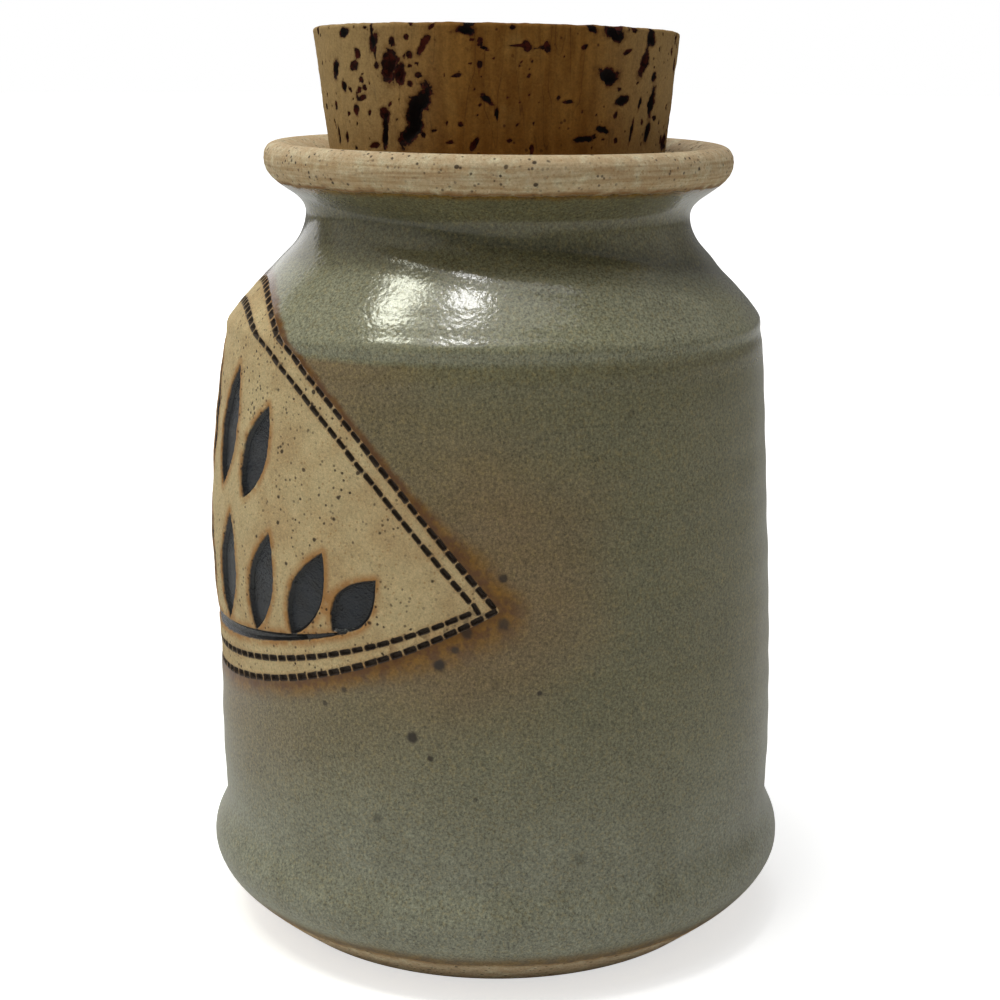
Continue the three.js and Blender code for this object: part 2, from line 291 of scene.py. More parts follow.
def stitch_places(line, seed):
    """Middle, direction, length and width of each mark of the toothed wheel along a closed line."""
    loop = np.concatenate([line, line[:1]])
    solid = on_wall(loop[:, 0] / LABEL_RADIUS, loop[:, 1])
    along = np.concatenate([[0], np.cumsum(np.linalg.norm(np.diff(solid, axis=0), axis=1))])
    count = round(along[-1] / STITCH_PITCH)
    draw = np.random.default_rng(seed)
    middles = (np.arange(count) + draw.uniform(-0.03, 0.03, count)) * along[-1] / count

    def at(stops):
        return np.stack([np.interp(stops % along[-1], along, loop[:, i]) for i in (0, 1)], 1)

    run = at(middles + 0.5) - at(middles - 0.5)
    lengths = STITCH_LENGTH * draw.uniform(0.93, 1.05, count)
    pressed = 1 + 0.16 * np.sin(middles / 37 + seed)
    widths = STITCH_WIDTH * draw.uniform(0.9, 1.08, count) * pressed
    return list(zip(at(middles), run / np.hypot(*run.T)[:, None], lengths, widths))


def stitch_rings(place):
    """Rim, floor and guard lines of one stitch mark."""
    middle, along, length, width = place
    side = np.array([-along[1], along[0]])

    def oblong(half, wide, corner):
        flat = [
            (half - corner, wide), (half, wide - corner), (half, corner - wide), (half - corner, -wide),
            (corner - half, -wide), (-half, corner - wide), (-half, wide - corner), (corner - half, wide),
        ]
        return np.array([middle + x * along + y * side for x, y in flat])

    rim = oblong(length / 2, width / 2, 0.22)
    guard = oblong(length / 2 + 0.13, width / 2 + 0.13, 0.3)
    floor = oblong(length / 2 - 0.22, width * 0.22, 0.08)
    return rim, guard, floor


def stitch_inside(points, places):
    """How far inside the nearest stitch mark each point is; outside it is negative."""
    best = np.full(len(points), FAR_FROM_MARKS)
    for middle, along, length, width in places:
        away = points - middle
        x, y = np.abs(away @ along), np.abs(away @ (-along[1], along[0]))
        best = np.maximum(best, np.minimum(length / 2 - x, width / 2 - y))
    return best


def drawing():
    """Everything drawn on the label."""
    outer, inner = label_line(), label_line(INNER_ACROSS, INNER_UP, INNER_DOWN)
    stitches = stitch_places(outer, 1) + stitch_places(inner, 2)
    mirrored = [(-across, height, -lean, length) for across, height, lean, length in SIDE_LEAVES]
    leaves = [leaf_outline(*leaf) for leaf in (*MIDDLE_LEAVES, *SIDE_LEAVES, *mirrored)]
    return outer, stitches, [*leaves, branch_outline()]


def grown(outline, by):
    """The closed outline again, moved outwards."""
    run = np.roll(outline, -1, axis=0) - np.roll(outline, 1, axis=0)
    run /= np.maximum(np.hypot(*run.T), 1e-9)[:, None]
    x, y = outline.T
    turning_way = 1 if (x * np.roll(y, -1) - y * np.roll(x, -1)).sum() > 0 else -1
    return outline - by * np.stack([-run[:, 1], run[:, 0]], 1) * turning_way


def shrunk(outline, by):
    """The closed outline again, moved inwards, without the stretches that would cross each other."""
    moved = grown(outline, -by)
    return moved[inside_by(moved, outline) > by * 0.9]


def label_fields(points, outer, stitches, sunk):
    """For points of the flat drawing: how far inside the bare clay, the ornament and a stitch each is."""
    bare = inside_by(points, outer) + BARE_MARGIN
    inlay = np.max([inside_by(points, outline) for outline in sunk], axis=0)
    return bare, inlay, stitch_inside(points, stitches)


def label_relief(bare, inlay, stitch):
    """Height of the label's surface over the wall."""
    glaze_edge = 0.16 * (1 - smoothstep(bare, -0.9, 0.05)) * smoothstep(bare, -7, -1.5)
    leaf = -RECESS * smoothstep(inlay, 0, BEVEL) ** 0.8 + 0.08 * smoothstep(inlay, -1.2, -0.15) * (inlay < 0)
    mark = -STITCH_DEPTH * np.clip(stitch / 0.26, 0, 1) + 0.05 * smoothstep(stitch, -0.5, -0.1) * (stitch < 0)
    return glaze_edge + leaf + mark


def patch_points(loop, outer, stitches, sunk):
    """Points of the label's patch, and the edges that its mesh has to keep."""
    lines = [loop, evenly_closed(grown(outer, 0.9), 0.8), evenly_closed(grown(outer, 1.7), 1.0)]
    for place in stitches:
        lines += stitch_rings(place)
    for outline in sunk:
        outline = evenly_closed(outline, 0.55)
        slope = (shrunk(outline, BEVEL * share) for share in (0.4, 1))
        lines += [outline, grown(outline, 0.35), *(line for line in slope if len(line) > 3)]
    points = np.concatenate(lines)
    edges, start = [], 0
    for line in lines:
        size = len(line)
        edges += [(start + i, start + (i + 1) % size) for i in range(size)]
        start += size
    low, high = loop.min(0), loop.max(0)
    across = np.arange(low[0], high[0], PATCH_STEP)
    rows = np.arange(low[1], high[1], PATCH_STEP * 0.87)
    filler = np.concatenate([
        np.stack([across + PATCH_STEP / 2 * (i % 2), np.full(len(across), row)], 1)
        for i, row in enumerate(rows)
    ])
    filler = filler[inside_by(filler, loop) > PATCH_STEP * 0.5]
    filler = filler[far_from(filler, points, PATCH_STEP * 0.5)]
    return np.concatenate([points, filler]), edges


def evenly_closed(outline, step):
    return evenly(np.concatenate([outline, outline[:1]]), step)[:-1]


def far_from(points, others, reach):
    """Which points have none of the others within reach, by a grid of cells of that size."""
    cells = {}
    for x, y in others:
        cells.setdefault((int(x // reach), int(y // reach)), []).append((x, y))
    around = [(column, row) for column in (-1, 0, 1) for row in (-1, 0, 1)]
    keep = np.ones(len(points), bool)
    for i, (x, y) in enumerate(points):
        column, row = int(x // reach), int(y // reach)
        near = (other for c, r in around for other in cells.get((column + c, row + r), ()))
        keep[i] = not any((x - p) ** 2 + (y - q) ** 2 < reach * reach for p, q in near)
    return keep


def border_loop(faces):
    """The vertices round a hole, in order, from the faces that filled it."""
    sides = {}
    for face in faces:
        for i in range(4):
            a, b = face[i], face[(i + 1) % 4]
            if (b, a) in sides:
                del sides[(b, a)]
            else:
                sides[(a, b)] = b
    following = {a: b for a, b in sides}
    loop = [next(iter(following))]
    while following[loop[-1]] != loop[0]:
        loop.append(following[loop[-1]])
    return loop


def new_piece(name, points, faces, node):
    """A piece in metres that rides on the jar's body and stands for a solid."""
    mesh = bpy.data.meshes.new(name)
    mesh.from_pydata((np.asarray(points) * MM).tolist(), [], faces)
    mesh.validate()
    mesh.update()
    mesh.shade_smooth()
    piece = bpy.data.objects.new(name, mesh)
    bpy.context.collection.objects.link(piece)
    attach(piece, "root")
    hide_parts(node)
    return piece


def keep_values(piece, name, values):
    """A number for each vertex, for the finish to read."""
    kept = piece.data.attributes.new(name, "FLOAT", "POINT")
    kept.data.foreach_set("value", np.asarray(values, np.float32))


def bands(starts, count):
    """Faces between rings of this many vertices, each given by its first vertex."""
    return [
        (low + i, low + (i + 1) % count, high + (i + 1) % count, high + i)
        for low, high in zip(starts, starts[1:])
        for i in range(count)
    ]


def cap(start, middle, count, up=True):
    """Faces between a ring of vertices and the one in its middle."""
    sides = [(start + i, start + (i + 1) % count) for i in range(count)]
    return [(a, b, middle) if up else (b, a, middle) for a, b in sides]


def row_heights():
    """Height of each row of the jar's mesh, twice as close from the shoulder up."""
    heights = evenly(OUTSIDE, ROW_STEP)[:, 1]
    fine = (heights > FINE_ROWS[0]) & (heights < FINE_ROWS[1])
    return heights[fine | (np.arange(len(heights)) % 2 == 0)]


def throat_and_underside(bearings):
    """Rings of points down into the bore, and rings inwards under the foot."""
    def level(radius, height):
        return np.array([(radius * math.sin(a), -radius * math.cos(a), height) for a in bearings])

    throat = [(r, z) for r, z in bezier(*INSIDE_CURVE, 8)[1:] if r > BORE_RADIUS]
    throat += [(BORE_RADIUS, BORE_RIM), (BORE_RADIUS, BORE_FLOOR)]
    underside = [level(FOOT[0] * share, 0) for share in (0.985, 0.9, 0.7, 0.45, 0.2)]
    return [tilted(level(r, z)) for r, z in throat], underside


def label_patch(border, flat, first, label):
    """Points, numbered from first on, faces and fields of the label's fine mesh inside the border."""
    spots, edges = patch_points(flat[border], *label)
    places, _, faces, sources, *_ = delaunay_2d_cdt([Vector(spot) for spot in spots], edges, [], 1, 1e-5)
    places = np.array([tuple(place) for place in places])
    fields = label_fields(places, *label)
    patch = on_wall(places[:, 0] / LABEL_RADIUS, places[:, 1], label_relief(*fields))
    number, kept = {}, []
    for i, came_from in enumerate(sources):
        on_border = [k for k in came_from if k < len(border)]
        if on_border:
            number[i] = border[on_border[0]]
        else:
            number[i] = first + len(kept)
            kept.append(i)
    return patch[kept], [tuple(number[i] for i in face) for face in faces], [field[kept] for field in fields]


def make_jar():
    label = drawing()
    outer = label[0]
    bearings = np.arange(COLUMNS) * 2 * np.pi / COLUMNS - np.pi
    heights = row_heights()
    bearing, height = (grid.ravel() for grid in np.meshgrid(bearings, heights))
    flat = np.stack([turned_back(bearing) * LABEL_RADIUS, height], 1)
    bare = inside_by(flat, outer) + BARE_MARGIN
    unmarked = np.full(len(flat), FAR_FROM_MARKS)
    wall = on_wall(bearing, height, label_relief(bare, unmarked, unmarked))
    throat, underside = throat_and_underside(bearings)
    points = [*wall, *np.concatenate([*throat, *underside]), (0, 0, BORE_FLOOR), (0, 0, 0)]

    starts = [row * COLUMNS for row in range(len(heights) + len(throat) + len(underside))]
    crest, bottom = len(heights) - 1, len(heights) - 1 + len(throat)
    grid = bands(starts[:crest + 1], COLUMNS)
    centre = np.array([flat[list(face)].mean(0) for face in grid])
    spread = np.array([np.ptp(flat[list(face)][:, 0]) for face in grid])
    hole = (inside_by(centre, outer) > -PATCH_MARGIN) & (spread < LABEL_RADIUS)
    border = border_loop([face for face, gone in zip(grid, hole) if gone])
    faces = [face for face, gone in zip(grid, hole) if not gone]
    faces += bands(starts[crest:bottom + 1], COLUMNS) + cap(starts[bottom], len(points) - 2, COLUMNS)
    below = [0, *starts[bottom + 1:]]
    for upper, lower in zip(below, below[1:]):
        faces += bands((lower, upper), COLUMNS)
    faces += cap(below[-1], len(points) - 1, COLUMNS, up=False)
    patch, patch_faces, fields = label_patch(border, flat, len(points), label)

    jar = new_piece("stoneware_jar", [*points, *patch], faces + patch_faces, "jar")
    hidden = len(points) - len(flat)
    groove, clear = finger_mark(bearing)
    # Where the glaze is darkened along the finger mark: partly glaze pooled in the groove, partly painted
    # shade in it.
    pooled_glaze_and_shade = clear * hump(height, groove, 2.2)
    keep_values(jar, "finger_mark", np.concatenate([pooled_glaze_and_shade, np.zeros(hidden + len(patch))]))
    names = ("bare_clay", "sunk_leaf", "stitch_mark")
    beyond = (FAR_FROM_CLAY, FAR_FROM_MARKS, FAR_FROM_MARKS)
    for name, on_the_wall, far, field in zip(names, (bare, unmarked, unmarked), beyond, fields):
        values = np.concatenate([on_the_wall, np.full(hidden, far), field])
        keep_values(jar, name, np.clip(values, -40, 20))
    jar.data.set_sharp_from_angle(angle=math.radians(38))
    return jar


# Marks in the cork's side: bearing, height up the cork, length, width, lean from upright and depth
FISSURES = (
    (52, 19.4, 12.6, 3.5, 27, 1.5), (40, 16.4, 6.6, 1.3, 2, 0.9), (26, 34, 3.2, 1.6, 62, 0.5),
    (18, 27.6, 3.6, 2.4, 20, 0.8), (22, 24.5, 2, 1.6, 0, 0.5), (69, 34.3, 3.3, 1.7, 85, 0.7),
    (70, 35.6, 2.4, 0.9, 90, 0.5), (74, 31.4, 2.5, 0.6, -62, 0.4), (75, 22.3, 3, 1.2, -60, 0.35),
    (78, 19.8, 2.4, 0.8, 0, 0.5), (107, 35, 2.4, 1.2, -70, 0.6), (115, 34.3, 4.8, 2.3, -82, 0.9),
    (114, 26.9, 4.8, 2.7, -84, 1), (120, 22.3, 3.4, 1.7, 60, 0.7), (113, 16.8, 3.1, 1.2, -80, 0.5),
    (106, 15.2, 4.1, 1.1, 80, 0.5), (132, 34, 3.2, 2.6, -60, 0.8), (136, 22, 5.8, 2.1, 4, 1),
    (135, 16.3, 3.7, 1.9, 4, 0.9), (136, 26.7, 2, 1.4, 20, 0.5), (126, 16.7, 4.8, 0.7, 8, 0.5),
    (129, 21.7, 2.6, 0.7, 8, 0.4), (38.5, 32.6, 6.6, 0.8, -4, 0.5),
)
RED_HOLLOWS = (
    (44, 28.1, 6.2, 3.3, 0, 1.2), (48, 26.7, 4.2, 2.1, 10, 1), (41, 19.5, 2.7, 2.1, 0, 0.8),
    (6, 34.8, 1.4, 1.4, 0, 0.4), (31, 30.4, 1.9, 1.9, 20, 0.5), (29, 28.2, 2.7, 1.5, 60, 0.4),
    (32, 25.7, 1.2, 1.1, 0, 0.3), (30, 24, 1.2, 1.3, 0, 0.4), (31, 22.5, 2.8, 1, 70, 0.4),
    (28, 20.2, 2, 1.7, 10, 0.4), (15, 21, 1.6, 1.2, 0, 0.4), (20, 15.3, 1.9, 1, 0, 0.4),
    (14, 15.6, 3.1, 0.9, 0, 0.4), (39, 32.2, 3.3, 1.9, 40, 0.5), (46, 32.4, 1.6, 1.5, 0, 0.4),
    (39, 28.2, 1.2, 1, 0, 0.3), (51, 33.1, 1.1, 0.9, 0, 0.3), (56, 31.6, 3.5, 1.4, 42, 0.5),
    (54, 26.4, 1.3, 0.9, 80, 0.3), (51, 25, 1.1, 1, 0, 0.3), (66, 26.4, 2.1, 0.7, 80, 0.3),
    (73, 28.4, 1.4, 0.9, -20, 0.4), (85, 31.8, 4, 0.5, 90, 0.3), (87, 31.7, 2, 1.8, 0, 0.5),
    (91, 31.5, 3, 0.5, 90, 0.3), (93, 31.6, 2, 1.3, 0, 0.5), (129, 29.2, 5.4, 2.2, 18, 0.9),
    (121, 31.2, 2.3, 0.8, 75, 0.4), (100, 22, 2.2, 0.7, 85, 0.2), (131, 18.3, 1.2, 1, 0, 0.3),
    (148, 14.7, 1.8, 1.3, 0, 0.4), (149, 31.8, 1.9, 0.9, 0, 0.4), (119, 14.9, 1.1, 1, 0, 0.3),
    (63, 14.7, 1.9, 0.6, 85, 0.3), (71, 14.4, 2.7, 1.1, 30, 0.6), (35, 13.9, 3, 0.9, 85, 0.4),
)

# Scattered pores of this length or more stay out of the bearings that the marks above cover
UNMARKED_ABOVE, UNMARKED = 1.5, (2, 152)


def scattered_pores(seed, count):
    """Pores all round, crowded in some places, with only small ones where the marks above are."""
    draw = np.random.default_rng(seed)
    golden = 180 * (3 - math.sqrt(5))
    for i in range(count):
        bearing = (i * golden + draw.uniform(-14, 14)) % 360
        crowd = 0.5 + 0.5 * math.sin(math.radians(bearing * 3)) * math.sin(math.radians(bearing * 5 + 40))
        length = 0.5 + (0.8 + 3.4 * crowd) * draw.random() ** 2.4
        height = draw.uniform(1, CORK_LENGTH)
        width = length * draw.uniform(0.4, 0.85)
        lean = draw.uniform(0, 180)
        if length < UNMARKED_ABOVE or not UNMARKED[0] < bearing < UNMARKED[1]:
            yield bearing, height, length, width, lean, 0.2 + 0.22 * length


def cork_pits(bearing, height, radius, pits):
    """How deep each point of the cork's side lies under its skin, and how far inside a pore it is."""
    depth, inside = np.zeros(len(bearing)), np.full(len(bearing), -1.0)
    for pit_bearing, pit_height, length, width, lean, deep in pits:
        x = turned_back(bearing - math.radians(pit_bearing)) * radius
        y = height - pit_height
        near = np.flatnonzero((np.abs(x) < length) & (np.abs(y) < length))
        turn = math.radians(lean)
        along = y[near] * math.cos(turn) + x[near] * math.sin(turn)
        side = x[near] * math.cos(turn) - y[near] * math.sin(turn)
        ragged = 0.5 * np.sin(along * 0.9 + pit_height) + 0.2 * np.sin(along * 4.3 + pit_bearing)
        uneven = 1 + 0.16 * np.sin(along * 1.7 + pit_bearing * 2)
        reach = np.hypot(along / (length / 2), (side + ragged * width * 0.3) / (width / 2 * uneven))
        inside[near] = np.maximum(inside[near], 1 - reach)
        depth[near] = np.maximum(depth[near], deep * smoothstep(1 - reach, 0, 0.75))
    return depth, inside


def cork_outline():
    """Radius and height of each ring of the cork's mesh, from the middle of its foot to that of its top."""
    slope = (CORK_TOP - CORK_BASE) / CORK_LENGTH
    under = [(CORK_BASE * share, 0) for share in (0.1, 0.5, 0.85)]
    foot = [(CORK_BASE - CORK_BEVEL, 0), (CORK_BASE, CORK_BEVEL)]
    climb = np.arange(CORK_BEVEL, CORK_LENGTH - CORK_BEVEL, CORK_STEP)[1:]
    rim = [(CORK_TOP - inwards, CORK_LENGTH - down) for inwards, down in ((0.1, 0.45), (0.5, 0.08), (1, 0))]
    top = [(r, CORK_LENGTH) for r in np.arange(CORK_TOP - 1.6, 1, -CORK_STEP * 1.6)]
    return np.array([*under, *foot, *((CORK_BASE + slope * z, z) for z in climb), *rim, *top])


def make_cork():
    outline = cork_outline()
    radius, height = (np.repeat(column, CORK_COLUMNS) for column in outline.T)
    bearing = np.tile(np.arange(CORK_COLUMNS) * 2 * np.pi / CORK_COLUMNS, len(outline))
    place = np.stack([radius * np.sin(bearing), -radius * np.cos(bearing), height], 1)
    on_side = radius > CORK_BASE + (CORK_TOP - CORK_BASE) / CORK_LENGTH * height - 0.9
    on_top = height > CORK_LENGTH - 0.5
    depth, inside = cork_pits(bearing, height, radius, [*FISSURES, *RED_HOLLOWS, *scattered_pores(5, 560)])
    black = np.where(on_side, cork_pits(bearing, height, radius, FISSURES)[1], -1)
    flat_depth, flat_inside = top_pits(place, 7, 120)
    depth = np.where(on_top, flat_depth, depth)
    inside = np.where(on_top, np.maximum(flat_inside, np.where(on_side, inside, -1)), inside)
    rough = unevenness(place, CORK_LUMPS)
    rough -= 0.05 * np.maximum(0, waviness(place * (1, 1, 0.25), 2.6, 23)) ** 2
    out = np.stack([np.sin(bearing), -np.cos(bearing), np.zeros(len(bearing))], 1)
    normal = np.where(on_top[:, None], (0, 0, 1), out)
    place = place + normal * (rough * (height > 10) - depth)[:, None]
    fall = place @ heading(CORK_SLANT_BEARING) * math.tan(math.radians(CORK_SLANT))
    place[:, 2] -= place[:, 2] / CORK_LENGTH * fall
    hinge = Vector((0, 0, 1)).cross(Vector(heading(CORK_LEAN_BEARING)))
    spin = np.array(Matrix.Rotation(math.radians(CORK_LEAN), 3, hinge))

    starts = [row * CORK_COLUMNS for row in range(len(outline))]
    faces = bands(starts, CORK_COLUMNS) + cap(starts[-1], len(place), CORK_COLUMNS)
    faces += cap(0, len(place) + 1, CORK_COLUMNS, up=False)
    place = np.concatenate([place, [(0, 0, CORK_LENGTH), (0, 0, 0)]])
    cork = new_piece("cork_plug", place @ spin.T + (0, 0, CORK_FOOT), faces, "cork_stopper")
    keep_values(cork, "pore", np.concatenate([inside, [-1, -1]]))
    keep_values(cork, "black_pore", np.concatenate([black, [-1, -1]]))
    return cork


def top_pits(place, seed, count):
    """How deep each point lies, and how far inside a pore it is, for pores scattered over the cork's top."""
    draw = np.random.default_rng(seed)
    depth, inside = np.zeros(len(place)), np.full(len(place), -1.0)
    golden = math.pi * (3 - math.sqrt(5))
    for i in range(count):
        reach = CORK_TOP * math.sqrt((i + 0.5) / count)
        x, y = (reach * math.cos(i * golden), reach * math.sin(i * golden)) + draw.uniform(-2, 2, 2)
        length = 0.8 + 4.5 * draw.random() ** 3
        width = length * draw.uniform(0.25, 0.6)
        turn = draw.uniform(-0.5, 0.5)
        away = place[:, :2] - (x, y)
        near = np.flatnonzero(np.abs(away).max(1) < length)
        along = away[near] @ (math.cos(turn), math.sin(turn))
        side = away[near] @ (-math.sin(turn), math.cos(turn))
        within = 1 - np.hypot(along / (length / 2), (side + 0.1 * width * np.sin(along * 4)) / (width / 2))
        inside[near] = np.maximum(inside[near], within)
        depth[near] = np.maximum(depth[near], (0.3 + 0.2 * length) * smoothstep(within, 0, 0.7))
    return depth, inside


class Wire:
    """An output of a finish's node. Arithmetic on it adds Math nodes."""

    def __init__(self, finish, socket):
        self.finish = finish
        self.socket = socket

    def math(self, operation, *terms):
        return self.finish.node("Math", {"operation": operation}, terms)

    def __add__(self, other):
        return self.math("ADD", self, other)

    def __sub__(self, other):
        return self.math("SUBTRACT", self, other)

    def __rsub__(self, other):
        return self.math("SUBTRACT", other, self)

    def __mul__(self, other):
        return self.math("MULTIPLY", self, other)

    def __truediv__(self, other):
        return self.math("DIVIDE", self, other)

    __radd__ = __add__
    __rmul__ = __mul__

    def size(self):
        return self.math("ABSOLUTE", self)

    def at_least(self, other):
        return self.math("MAXIMUM", self, other)

    def at_most(self, other):
        return self.math("MINIMUM", self, other)

    def ramp(self, low, high):
        """0 below low and 1 above high, smooth between; the other way round if low is the larger."""
        settings = {"interpolation_type": "SMOOTHSTEP"}
        return self.finish.node("MapRange", settings, {"Value": self, "From Min": low, "From Max": high})


class Finish:
    """A material being made."""

    def __init__(self, name):
        self.material = bpy.data.materials.new(name)
        self.material.use_nodes = True
        self.tree = self.material.node_tree
        self.shader = self.tree.nodes["Principled BSDF"]
        coordinates = self.node("TexCoord", output="Object")
        self.place = self.vector("SCALE", coordinates, {"Scale": 1 / MM})
        self.height = self.node("SeparateXYZ", sockets=[self.place], output="Z")

    def node(self, kind, settings=None, sockets=(), output=0):
        made = self.tree.nodes.new("ShaderNode" + kind)
        for name, value in (settings or {}).items():
            setattr(made, name, value)
        pairs = sockets.items() if isinstance(sockets, dict) else enumerate(sockets)
        for key, value in pairs:
            self.feed(made.inputs[key], value)
        return Wire(self, made.outputs[output])

    def feed(self, socket, value):
        if isinstance(value, Wire):
            self.tree.links.new(value.socket, socket)
        else:
            socket.default_value = value

    def set(self, **values):
        """Feeds the shader's own sockets, whose names have underscores for spaces here."""
        for name, value in values.items():
            self.feed(self.shader.inputs[name.replace("_", " ").title().replace("Ior", "IOR")], value)

    def vector(self, operation, first, sockets, output=0):
        return self.node("VectorMath", {"operation": operation}, {0: first, **sockets}, output=output)

    def stretched(self, x, y, z):
        return self.vector("MULTIPLY", self.place, {1: (x, y, z)})

    def noise(self, size, detail=2, rough=0.5, place=None):
        """Cloudy noise about 0.5 in lumps of this size, in millimetres."""
        sockets = {"Vector": place or self.place, "Scale": 1 / size, "Detail": detail, "Roughness": rough}
        return self.node("TexNoise", sockets=sockets)

    def cells(self, size, output="Distance"):
        return self.node("TexVoronoi", sockets={"Vector": self.place, "Scale": 1 / size}, output=output)

    def value(self, name):
        return self.node("Attribute", {"attribute_name": name}, output="Fac")

    def mix(self, under, over, share):
        return self.node("Mix", {"data_type": "RGBA"}, {0: share, 6: under, 7: over}, output=2)

    def blend(self, under, over, share):
        """The same for numbers."""
        return self.node("Mix", {"data_type": "FLOAT"}, {0: share, 2: under, 3: over})

    def lit(self, colour, factor):
        """The colour made lighter or darker by a factor that varies."""
        grey = self.node("CombineColor", sockets=[factor, factor, factor])
        settings = {"data_type": "RGBA", "blend_type": "MULTIPLY"}
        return self.node("Mix", settings, {0: 1.0, 6: colour, 7: grey}, output=2)

    def bump(self, height):
        """Relief from a height in millimetres."""
        return self.node("Bump", sockets={"Height": height, "Distance": MM})


def colour(red, green, blue):
    """A colour as it is read from a picture, in shares of 255, turned linear."""
    return tuple(((c / 255 + 0.055) / 1.055) ** 2.4 for c in (red, green, blue)) + (1.0,)


# Iron spots that show in the glaze: bearing, height, radius and strength
IRON_SPOTS = (
    (79.2, 83.5, 0.75, 0.9), (67.5, 67, 1.05, 1), (62.5, 52.8, 1.05, 1), (66, 49, 0.6, 0.9),
    (55.5, 36, 0.9, 0.5), (86, 61.8, 0.45, 0.9), (74.2, 41.5, 0.4, 0.6), (78, 63.5, 0.9, 0.3),
    (96, 84, 0.4, 0.4), (79.3, 75, 1.1, 0.8), (72.5, 73.2, 1, 0.8), (70.4, 70, 0.7, 0.8),
    (44, 56.8, 0.5, 0.8), (48.5, 60.3, 0.55, 0.7), (94, 28.5, 1.1, 0.35), (300, 96, 0.9, 0.9),
    (262, 60, 1, 0.8), (214, 104, 0.7, 0.9), (235, 34, 0.9, 0.6),
)


def specks(finish, size, share, reach=0.3):
    """Scattered specks: 1 in the middle of some cells, 0 elsewhere, reaching this share of a cell."""
    near = finish.cells(size) + (finish.noise(size * 0.4, 1) - 0.5) * 0.2
    chance = finish.node("SeparateColor", sockets=[finish.cells(size, output="Color")], output=0)
    return near.ramp(reach, reach * 0.5) * chance.ramp(1 - share, 1 - share * 0.5)


def wall_point(bearing, height):
    """A place on the wall's skin, as a constant for the finish."""
    angle = math.radians(bearing)
    radius = float(np.interp(height, OUTSIDE[:, 1], OUTSIDE[:, 0]) + swell(turned_back(angle), height))
    return radius * math.sin(angle), -radius * math.cos(angle), height


def away_from(finish, place):
    return finish.vector("DISTANCE", finish.place, {1: place}, "Value")


def towards(finish, bearing):
    """How far each place lies from the jar's axis towards a bearing."""
    return finish.vector("DOT_PRODUCT", finish.place, {1: tuple(heading(bearing))}, "Value")


